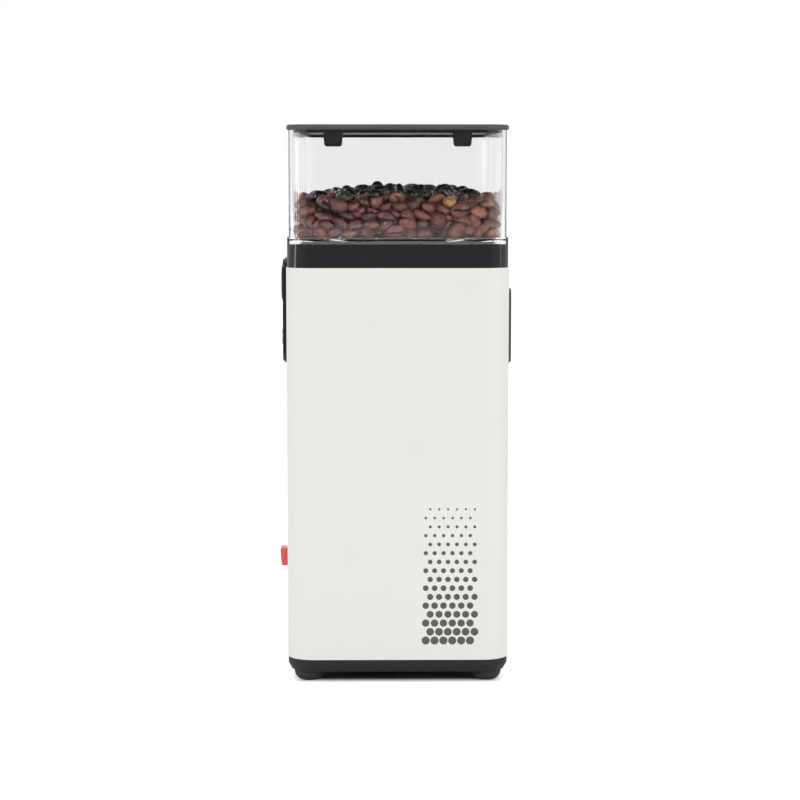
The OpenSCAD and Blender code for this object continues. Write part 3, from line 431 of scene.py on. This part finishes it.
# ---------- Mesh helpers ----------

def add_piece(name, mesh, material, body):
    piece = bpy.data.objects.new(name, mesh)
    bpy.context.scene.collection.objects.link(piece)
    mesh.materials.append(material)
    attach(piece, body)
    return piece


def mesh_from(name, work):
    mesh = bpy.data.meshes.new(name)
    work.to_mesh(mesh)
    work.free()
    return mesh


# ---------- Beans ----------

BEAN_LENGTH, BEAN_WIDTH, BEAN_HEIGHT = 11.4 * MM, 8.4 * MM, 6.0 * MM
BEAN_RINGS = 12
DOME_SHARE, FLAT_SHARE = 0.64, 0.36  # of the height, above and below the bean's middle
CREASE_BEND, CREASE_WIDTH, CREASE_DEPTH = 0.10, 0.11, 0.24
DOME_ANGLES = [0, 26, 52, 78, 102, 128, 154, 180]
FLAT_ANGLES = [206, 230, 248, 257, 263, 267, 270, 273, 277, 283, 292, 310, 334]


def bean_shape():
    """One bean along X, domed above, flatter below with an S-shaped crease: points, faces, depths."""
    points, crease, faces = [], [], []
    angles = DOME_ANGLES + FLAT_ANGLES
    for ring in range(1, BEAN_RINGS):
        along = -math.cos(math.pi * ring / BEAN_RINGS)
        girth = (1 - abs(along) ** 2.3) ** 0.5
        middle = CREASE_BEND * math.sin(math.pi * along)
        for angle in angles:
            turn = math.radians(angle)
            side, up = math.cos(turn), math.sin(turn)
            rise = up * (DOME_SHARE if up >= 0 else FLAT_SHARE)
            cut = 0.0
            if up < 0:
                cut = math.exp(-((side - middle) / CREASE_WIDTH) ** 2) * (1 - along ** 6)
            points.append((along * BEAN_LENGTH / 2, side * girth * BEAN_WIDTH / 2,
                           (rise + CREASE_DEPTH * cut) * girth * BEAN_HEIGHT))
            crease.append(cut)
    count = len(angles)
    ends = [(-BEAN_LENGTH / 2, 0, 0), (BEAN_LENGTH / 2, 0, 0)]
    first_end, last_end = len(points), len(points) + 1
    points += ends
    crease += [0.0, 0.0]
    for ring in range(BEAN_RINGS - 2):
        for i in range(count):
            j = (i + 1) % count
            a, b = ring * count, (ring + 1) * count
            faces.append((a + i, a + j, b + j, b + i))
    last = (BEAN_RINGS - 2) * count
    for i in range(count):
        j = (i + 1) % count
        faces.append((first_end, j, i))
        faces.append((last_end, last + i, last + j))
    return np.array(points), faces, np.array(crease)


SIM_SCALE = 100                  # the solver is at home with things about a metre long
BEAN_COUNT = 985
SETTLE_FRAMES = 130
COLUMNS, ROWS = 10, 13           # of each layer that is dropped
CORE_MARGIN = 0.020
CORNER_RADIUS = 0.0115
# in the solver's own units
WALL = 9
WALL_HEIGHT = 60
CORE_HEIGHT = 1.2
FIRST_LAYER, LAYER_STEP = 2.0, 1.25
JITTER = 0.1
SHELL_MARGIN = 0.01


def sim_box(name, low, high, passive_world, turn=0.0):
    size = [b - a for a, b in zip(low, high)]
    work = bmesh.new()
    bmesh.ops.create_cube(work, size=1, matrix=Matrix.Diagonal((*size, 1)))
    wall = bpy.data.objects.new(name, mesh_from(name, work))
    wall.location = [(a + b) / 2 for a, b in zip(low, high)]
    wall.rotation_euler.z = turn
    passive_world.objects.link(wall)
    bpy.context.scene.collection.objects.link(wall)
    wall.rigid_body.type = "PASSIVE"
    wall.rigid_body.collision_shape = "BOX"
    wall.rigid_body.friction = 0.35
    wall.rigid_body.use_margin = True
    wall.rigid_body.collision_margin = SHELL_MARGIN
    return wall


def sim_corners(low, high, top, passive_world):
    """Two facets across each upright corner, which the hopper's walls round off."""
    radius = CORNER_RADIUS * SIM_SCALE
    boxes = []
    for side_x, side_y in ((-1, -1), (-1, 1), (1, -1), (1, 1)):
        arc_x = (high.x if side_x > 0 else low.x) - side_x * radius
        arc_y = (high.y if side_y > 0 else low.y) - side_y * radius
        for degrees in (30, 60):
            out_x = side_x * math.cos(math.radians(degrees))
            out_y = side_y * math.sin(math.radians(degrees))
            x = arc_x + out_x * (radius + 1)
            y = arc_y + out_y * (radius + 1)
            boxes.append(sim_box(f"corner_{side_x}_{side_y}_{degrees}", (x - 1, y - radius, low.z),
                                 (x + 1, y + radius, top), passive_world, math.atan2(out_y, out_x)))
    return boxes


def settle_beans():
    """Drops the beans into the hopper with the rigid-body solver; returns where they rest, in metres."""
    scene = bpy.context.scene
    if scene.rigidbody_world is None:
        bpy.ops.rigidbody.world_add()
    world = scene.rigidbody_world
    world.collection = bpy.data.collections.new("settling")
    world.substeps_per_frame = 8
    world.solver_iterations = 10
    world.point_cache.frame_start = 1
    world.point_cache.frame_end = SETTLE_FRAMES
    low = Vector((beans_low.x, beans_low.y, hopper_floor)) * SIM_SCALE
    high = Vector((beans_high.x, beans_high.y, 0)) * SIM_SCALE
    top = low.z + WALL_HEIGHT
    margin = CORE_MARGIN * SIM_SCALE
    walls = [
        ("floor", (low.x - WALL, low.y - WALL, low.z - WALL), (high.x + WALL, high.y + WALL, low.z)),
        ("left", (low.x - WALL, low.y - WALL, low.z), (low.x, high.y + WALL, top)),
        ("right", (high.x, low.y - WALL, low.z), (high.x + WALL, high.y + WALL, top)),
        ("near", (low.x - WALL, low.y - WALL, low.z), (high.x + WALL, low.y, top)),
        ("far", (low.x - WALL, high.y, low.z), (high.x + WALL, high.y + WALL, top)),
    ]
    boxes = [sim_box(*wall, world.collection) for wall in walls]
    boxes += sim_corners(low, high, top, world.collection)
    boxes.append(sim_box("core", (low.x + margin, low.y + margin, low.z),
                         (high.x - margin, high.y - margin, low.z + CORE_HEIGHT), world.collection))
    proxy = bmesh.new()
    bmesh.ops.create_icosphere(proxy, subdivisions=1, radius=0.5)
    for vert in proxy.verts:
        vert.co.x *= BEAN_LENGTH * SIM_SCALE
        vert.co.y *= BEAN_WIDTH * SIM_SCALE
        vert.co.z *= BEAN_HEIGHT * SIM_SCALE * (1.1 if vert.co.z > 0 else 0.75)
    proxy_mesh = mesh_from("bean_proxy", proxy)
    beans = []
    rng = random.Random(7)
    step_x = (high.x - low.x) / COLUMNS
    step_y = (high.y - low.y) / ROWS
    for i in range(BEAN_COUNT):
        layer, spot = divmod(i, COLUMNS * ROWS)
        row, column = divmod(spot, COLUMNS)
        bean = bpy.data.objects.new(f"settle_{i}", proxy_mesh)
        bean.location = (low.x + step_x * (column + 0.5) + rng.uniform(-JITTER, JITTER),
                         low.y + step_y * (row + 0.5) + rng.uniform(-JITTER, JITTER),
                         low.z + FIRST_LAYER + layer * LAYER_STEP)
        bean.rotation_euler = [rng.uniform(0, 2 * math.pi) for _ in range(3)]
        world.collection.objects.link(bean)
        scene.collection.objects.link(bean)
        bean.rigid_body.collision_shape = "CONVEX_HULL"
        bean.rigid_body.mass = 0.2
        bean.rigid_body.friction = 0.45
        bean.rigid_body.restitution = 0.02
        bean.rigid_body.linear_damping = 0.12
        bean.rigid_body.angular_damping = 0.25
        bean.rigid_body.use_margin = True
        bean.rigid_body.collision_margin = SHELL_MARGIN
        beans.append(bean)
    for number in range(1, SETTLE_FRAMES + 1):
        scene.frame_set(number)
    depsgraph = bpy.context.evaluated_depsgraph_get()
    resting = []
    for bean in beans:
        matrix = bean.evaluated_get(depsgraph).matrix_world.copy()
        place = matrix.to_translation() / SIM_SCALE
        resting.append(Matrix.Translation(place) @ matrix.to_quaternion().to_matrix().to_4x4())
    bpy.ops.rigidbody.world_remove()
    for thing in beans + boxes:
        bpy.data.objects.remove(thing)
    bpy.data.meshes.remove(proxy_mesh)
    scene.frame_set(1)
    return resting


PALE_BEANS = 0.025
FRONT_LINE = 0.2783              # how high the lit beans lie against the walls
HEAP = 0.0003                    # how much higher the pile stands away from the walls
LEVEL_FROM, LEVEL_OVER = 0.008, 0.020  # the rise starts this far in and takes this long


def heaped(place):
    """Lifts the pile away from the walls; beans lower down move less, so neighbours stay together."""
    edge = min(place.x - beans_low.x, beans_high.x - place.x, place.y - beans_low.y, beans_high.y - place.y)
    share = min(1.0, max(0.0, (edge - LEVEL_FROM) / LEVEL_OVER))
    depth = min(1.0, max(0.0, (place.z - hopper_floor) / (FRONT_LINE - hopper_floor)))
    wave = 0.75 + 0.25 * math.sin(place.x * 95 + 0.4)
    return Vector((0, 0, HEAP * share * share * (3 - 2 * share) * depth * wave))


def make_beans():
    shape, faces, crease = bean_shape()
    resting = settle_beans()
    rng = random.Random(21)
    points, all_faces, tones_and_shade, creases = [], [], [], []
    for matrix in resting:
        place = matrix.to_translation()
        if place.z > beans_high.z + 0.02:
            continue
        place = place + heaped(place)
        size = rng.gauss(1.0, 0.05)
        stretch = np.array([size * rng.gauss(1, 0.04), size * rng.gauss(1, 0.04),
                            size * rng.gauss(0.97, 0.05)])
        local = shape * stretch
        rotation = np.array(matrix.to_3x3())
        base = sum(len(p) for p in points)
        points.append(local @ rotation.T + np.array(place))
        all_faces += [tuple(base + i for i in face) for face in faces]
        tone = 1.0 if rng.random() < PALE_BEANS else min(0.92, max(0.3, rng.gauss(0.62, 0.17)))
        # painted shade: beans higher than the front line get dark tones, standing in for the lid's shade on
        # the top of the pile
        if place.z > FRONT_LINE:
            tone = min(tone, rng.uniform(0.0, 0.22))
        tones_and_shade += [tone] * len(shape)
        creases += list(crease)
    mesh = bpy.data.meshes.new("coffee_bean_pile")
    mesh.from_pydata(np.vstack(points).tolist(), [], all_faces)
    mesh.polygons.foreach_set("use_smooth", [True] * len(mesh.polygons))
    for label, values in (("bean_tone_and_shade", tones_and_shade), ("bean_crease", creases)):
        layer = mesh.attributes.new(label, "FLOAT", "POINT")
        layer.data.foreach_set("value", values)
    pile = add_piece("coffee_bean_pile", mesh, MATERIALS["bean_brown"], "hopper")
    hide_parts("coffee_beans")


make_beans()


# ---------- Printed graphic on the face ----------

PRINT_LIFT = 0.06 * MM


def make_face_print():
    """A column of dots that shrink upwards, printed low on the right of the plain face."""
    work = bmesh.new()
    facing_y = Matrix.Rotation(math.pi / 2, 4, "X")
    left, right = 14.7 * MM, 45.3 * MM
    bottom, top = 22.6 * MM, 104.0 * MM
    rows, columns = 16, 6
    pitch_x = (right - left) / columns
    pitch_z = (top - bottom) / rows
    for row in range(rows):
        share = 1 - row / rows
        radius = pitch_x * (0.10 + 0.36 * share)
        for column in range(columns):
            shift = 0.25 if row % 2 else -0.25
            x = left + (column + 0.5 + shift) * pitch_x
            z = bottom + (row + 0.5) * pitch_z
            place = Matrix.Translation((x, front_y - PRINT_LIFT / 2, z)) @ facing_y
            bmesh.ops.create_cone(work, cap_ends=True, segments=28, radius1=radius, radius2=radius,
                                  depth=PRINT_LIFT, matrix=place)
    add_piece("face_print", mesh_from("face_print", work), PRINT_GREY, "housing")


make_face_print()


# ---------- Marks and lights on the controls ----------

MARK_LIFT = 0.05 * MM            # from the surface to the middle of a mark
PAINT = 0.1 * MM                 # thickness of the marks on the left side
DISPLAY_PAINT = 0.08 * MM        # and of those on the working side


def add_bar(work, centre, size, turn=None):
    """A thin bar of printed paint."""
    matrix = Matrix.Translation(centre) @ (turn or Matrix.Identity(4)) @ Matrix.Diagonal((*size, 1))
    bmesh.ops.create_cube(work, size=1, matrix=matrix)


def add_band(work, centre, inner, outer, thick, segments=48):
    """A flat ring that faces along X."""
    place = Matrix.Translation(centre) @ Matrix.Rotation(math.pi / 2, 4, "Y")
    rows = []
    low, high = -thick / 2, thick / 2
    for radius, height in ((inner, low), (outer, low), (outer, high), (inner, high)):
        rows.append([work.verts.new(place @ Vector((radius * math.cos(2 * math.pi * i / segments),
                                                    radius * math.sin(2 * math.pi * i / segments), height)))
                     for i in range(segments)])
    for a, b in zip(rows, rows[1:] + rows[:1]):
        for i in range(segments):
            j = (i + 1) % segments
            work.faces.new((a[i], a[j], b[j], b[i]))


def make_dial_scale():
    """Ticks round the grind dial, every fourth one longer."""
    work = bmesh.new()
    face_x = panel_low.x - MARK_LIFT
    scale_radius, degrees_apart = 12.0 * MM, 11.25
    for step in range(-12, 13):
        angle = math.radians(step * degrees_apart)
        is_long = step % 4 == 0
        length = (1.6 if is_long else 0.9) * MM
        width = (0.45 if is_long else 0.3) * MM
        radius = scale_radius + length / 2
        out = Vector((0, math.sin(angle), math.cos(angle))) * radius
        centre = (face_x, dial_middle.y + out.y, dial_middle.z + out.z)
        turn = Matrix.Rotation(-angle, 4, "X")
        add_bar(work, centre, (PAINT, width, length), turn)
    add_piece("dial_scale", mesh_from("dial_scale", work), MARK_WHITE, "housing")


def make_dial_pointer():
    """A white line on the dial's face, out from its middle."""
    work = bmesh.new()
    face_x = dial_low.x - MARK_LIFT
    add_bar(work, (face_x, dial_middle.y, dial_middle.z - 6.0 * MM), (PAINT, 0.7 * MM, 4.6 * MM))
    add_band(work, (face_x, dial_middle.y, dial_middle.z), 2.1 * MM, 2.5 * MM, PAINT, 32)
    add_piece("dial_pointer", mesh_from("dial_pointer", work), MARK_WHITE, "adjuster")


def make_button_glow():
    """The lit band round the mode button."""
    low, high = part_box("mode_button")
    work = bmesh.new()
    centre = (panel_low.x - MARK_LIFT, (low.y + high.y) / 2, (low.z + high.z) / 2)
    add_band(work, centre, 5.1 * MM, 5.5 * MM, PAINT)
    add_piece("button_glow", mesh_from("button_glow", work), LED_WHITE, "housing")


def make_rocker_marks():
    """A bar on the rocker's upper half and a ring on its lower half."""
    pivot = Vector((rocker_low.x + 8.0 * MM, (rocker_low.y + rocker_high.y) / 2,
                    (rocker_low.z + rocker_high.z) / 2))
    work = bmesh.new()
    upper = Matrix.Rotation(math.atan2(0.2, 4.2), 4, "Y")
    add_bar(work, pivot + Vector((-7.92, 0, 2.3)) * MM, (0.12 * MM, 0.55 * MM, 2.4 * MM), upper)
    ring = bmesh.new()
    add_band(ring, (0, 0, 0), 0.75 * MM, 1.2 * MM, 0.12 * MM, 32)
    lower = Matrix.Translation(pivot + Vector((-7.56, 0, -2.3)) * MM)
    lower = lower @ Matrix.Rotation(-math.atan2(0.5, 4.4), 4, "Y")
    bmesh.ops.transform(ring, matrix=lower, verts=ring.verts)
    ring_mesh = mesh_from("rocker_ring", ring)
    work.from_mesh(ring_mesh)
    bpy.data.meshes.remove(ring_mesh)
    add_piece("rocker_marks", mesh_from("rocker_marks", work), MARK_WHITE, "rocker")


SEGMENTS = {"1": "bc", "2": "abged", "5": "afgcd"}
READING = "125"                  # shown with a point before its last digit


def make_display_digits():
    """A lit reading of seconds on the working side's display."""
    wide, tall, stroke, pitch = 4.2 * MM, 8.2 * MM, 0.75 * MM, 7.4 * MM
    places = {
        "a": (0, tall / 2, True), "g": (0, 0, True), "d": (0, -tall / 2, True),
        "f": (-wide / 2, tall / 4, False), "b": (wide / 2, tall / 4, False),
        "e": (-wide / 2, -tall / 4, False), "c": (wide / 2, -tall / 4, False),
    }
    centre_x = (lens_low.x + lens_high.x) / 2
    centre_z = (lens_low.z + lens_high.z) / 2
    face_y = lens_high.y + MARK_LIFT
    work = bmesh.new()
    for number, digit in enumerate(READING):
        shift = (number - 1) * pitch
        for name in SEGMENTS[digit]:
            x, z, flat = places[name]
            if flat:
                size = (wide - stroke, DISPLAY_PAINT, stroke)
            else:
                size = (stroke, DISPLAY_PAINT, tall / 2 - stroke)
            add_bar(work, (centre_x - shift - x, face_y, centre_z + z), size)
    add_bar(work, (centre_x - pitch / 2, face_y, centre_z - tall / 2), (0.8 * MM, DISPLAY_PAINT, 0.8 * MM))
    add_piece("display_digits", mesh_from("display_digits", work), LED_WHITE, "housing")


def make_dose_dots():
    """One dot over the single-dose button and two over the double-dose button."""
    work = bmesh.new()
    for name, offsets in (("dose_button_single", (0,)), ("dose_button_double", (-1.3, 1.3))):
        low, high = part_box(name)
        for offset in offsets:
            centre = ((low.x + high.x) / 2 + offset * MM, display_high.y + MARK_LIFT, high.z + 3.2 * MM)
            turn = Matrix.Translation(centre) @ Matrix.Rotation(math.pi / 2, 4, "X")
            bmesh.ops.create_cone(work, cap_ends=True, segments=20, radius1=0.7 * MM, radius2=0.7 * MM,
                                  depth=DISPLAY_PAINT, matrix=turn)
    add_piece("dose_dots", mesh_from("dose_dots", work), MARK_WHITE, "housing")


make_dial_scale()
make_dial_pointer()
make_button_glow()
make_rocker_marks()
make_display_digits()
make_dose_dots()

for name, width in EDGE_WIDTHS.items():
    soften(name, width * MM)


# ---------- Studio ----------

FLOOR_WHITE = 0.85
FLOOR_GLOW = 0.6                 # to the camera, near the object
FLOOR_GLOW_FAR = 1.1             # and out towards the camera
# the colour of the painted shadow under the object, and of the floor out towards the camera
FLOOR_SHADOW_AND_FAR_DARK = 0.35                # under the object, and towards the camera
DARK_FROM, DARK_TO = -1.3, -0.6  # over these Y the floor turns from dark to white
WORLD_AROUND = 0.58
WORLD_BEHIND_CAMERA = 0.05

def ramp_node(tree, value, start, end, low, high):
    node = tree.nodes.new("ShaderNodeMapRange")
    node.interpolation_type = "SMOOTHSTEP"
    for name, setting in (("From Min", start), ("From Max", end), ("To Min", low), ("To Max", high)):
        node.inputs[name].default_value = setting
    tree.links.new(value, node.inputs["Value"])
    return node.outputs["Result"]


def make_floor():
    """A white floor, painted dark with no glow close under the object as painted shadow, and, as a light,
    dark on the camera's side too.
    """
    work = bmesh.new()
    bmesh.ops.create_grid(work, x_segments=1, y_segments=1, size=12)
    floor = bpy.data.objects.new("floor", mesh_from("floor", work))
    bpy.context.scene.collection.objects.link(floor)
    mat, tn, ln, shader = new_material("floor_white")
    tree = mat.node_tree
    parts = split_xyz(tree, object_coordinates(tn, ln))
    beside = math_node(tree, "SUBTRACT", math_node(tree, "ABSOLUTE", parts.outputs["X"]), shell_high.x)
    along = math_node(tree, "SUBTRACT", parts.outputs["Y"], shell_centre_y)
    beyond = math_node(tree, "SUBTRACT", math_node(tree, "ABSOLUTE", along), (back_y - front_y) / 2)
    outside = math_node(tree, "MAXIMUM", beside, beyond)
    ahead = ramp_node(tree, parts.outputs["Y"], DARK_FROM, DARK_TO, 0.0, 1.0)
    # painted shadow: under the object's footprint the floor takes the dark colour and loses its glow
    away = ramp_node(tree, outside, -0.014, -0.001, 0.0, 1.0)
    clear = math_node(tree, "MULTIPLY", ahead, away)
    ray = tn.new("ShaderNodeLightPath")
    looked_at = math_node(tree, "MAXIMUM", ray.outputs["Is Camera Ray"], ray.outputs["Is Transmission Ray"])
    strength = ramp_node(tree, parts.outputs["Y"], DARK_FROM, DARK_TO, FLOOR_GLOW_FAR, FLOOR_GLOW)
    glow = math_node(tree, "MULTIPLY", looked_at, strength)
    ln.new(math_node(tree, "MULTIPLY", away, glow), shader.inputs["Emission Strength"])
    ln.new(blend_colours(tn, ln, clear, (FLOOR_SHADOW_AND_FAR_DARK,) * 3, (FLOOR_WHITE,) * 3), shader.inputs["Base Color"])
    shader.inputs["Emission Color"].default_value = (1, 1, 1, 1)
    shader.inputs["Roughness"].default_value = 0.9
    shader.inputs["Specular IOR Level"].default_value = 0.1
    floor.data.materials.append(mat)


def make_world():
    """White to the camera; as light it is dim behind the camera, so gloss that faces it stays dark."""
    world = bpy.data.worlds.new("studio")
    bpy.context.scene.world = world
    world.use_nodes = True
    tree = world.node_tree
    direction = tree.nodes.new("ShaderNodeTexCoord").outputs["Generated"]
    parts = split_xyz(tree, direction)
    toward_camera = math_node(tree, "MULTIPLY", parts.outputs["Y"], -1.0)
    ambient = ramp_node(tree, toward_camera, 0.72, 0.95, WORLD_AROUND, WORLD_BEHIND_CAMERA)
    backdrop = ramp_node(tree, toward_camera, -0.45, -0.8, 0.0, 1.0 - WORLD_AROUND)
    ambient = math_node(tree, "ADD", ambient, backdrop)
    seen = tree.nodes.new("ShaderNodeLightPath").outputs["Is Camera Ray"]
    rest = math_node(tree, "MULTIPLY", ambient, math_node(tree, "SUBTRACT", 1.0, seen))
    tree.links.new(math_node(tree, "ADD", rest, seen), tree.nodes["Background"].inputs["Strength"])
    tree.nodes["Background"].inputs["Color"].default_value = (1, 1, 1, 1)


def area_light(name, place, target, size, power):
    data = bpy.data.lights.new(name, "AREA")
    data.shape = "RECTANGLE"
    data.size, data.size_y = size
    data.energy = power
    light = bpy.data.objects.new(name, data)
    light.location = place
    light.rotation_euler = (Vector(target) - Vector(place)).to_track_quat("-Z", "Y").to_euler()
    bpy.context.scene.collection.objects.link(light)


bpy.context.scene.view_settings.view_transform = "Standard"
make_floor()
make_world()
face = (0, front_y, 0.18)
middle = (0, shell_centre_y, 0.2)
LIGHTS = [
    # name, place, aimed at, size, watts
    ("front_left_softbox", (-0.9, -1.4, 0.95), face, (0.4, 0.6), 7.4),
    ("front_right_softbox", (1.15, -1.25, 0.85), face, (0.4, 0.6), 9.0),
    ("left_strip", (-1.2, -0.25, 0.35), middle, (0.07, 1.0), 2.2),
    ("right_strip", (1.2, -0.2, 0.35), middle, (0.07, 1.0), 0.6),
    ("top_softbox", (0, -0.1, 1.9), middle, (1.4, 1.4), 6),
]
for light in LIGHTS:
    area_light(*light)
